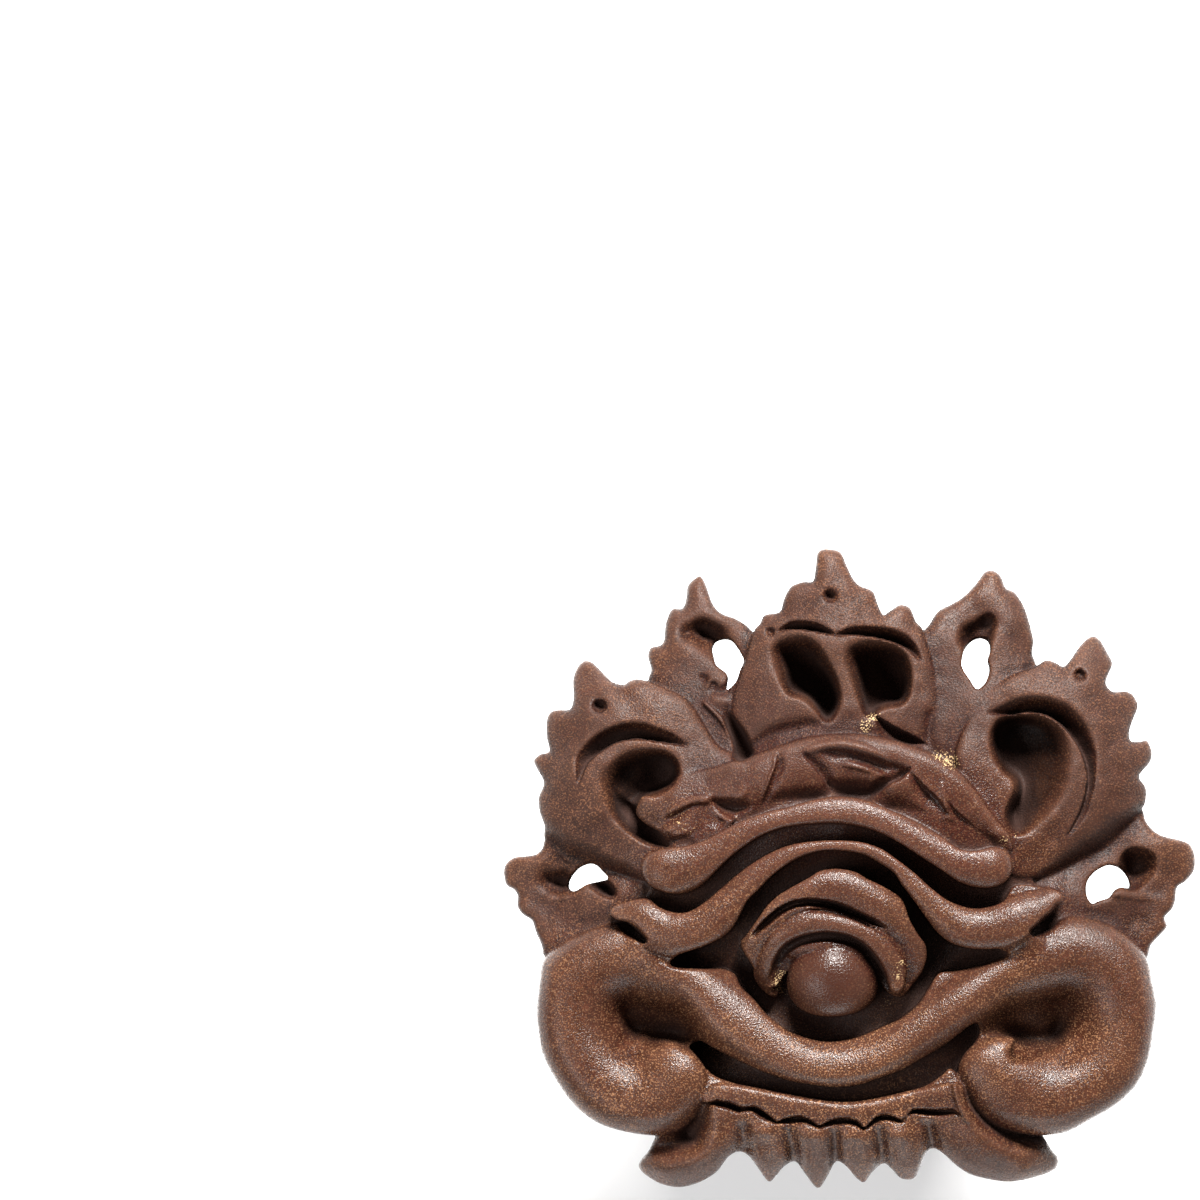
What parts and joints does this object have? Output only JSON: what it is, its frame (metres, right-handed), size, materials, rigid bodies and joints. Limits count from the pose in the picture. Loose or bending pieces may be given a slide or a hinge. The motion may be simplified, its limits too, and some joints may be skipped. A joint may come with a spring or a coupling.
{
  "type": "ear plug gauge",
  "caption": "Solid wooden saddle ear plug: flared barrel with a flat-backed front carved as a one-eyed leaf mask with pierced leaves, curled cheeks and fangs.",
  "frame": {"origin": "centre of the flat rear end face of the barrel, on which the plug stands", "axes": "+Z along the plug towards the carved front, +Y towards the crown of the carving, +X to the right of the carving seen from the front"},
  "size_m": [0.023, 0.0212, 0.0206],
  "materials": {
    "wood": "oiled, satin, reddish mid brown"
  },
  "bodies": {
    "root": {"carved_plug": "wood"}
  },
  "joints": []
}
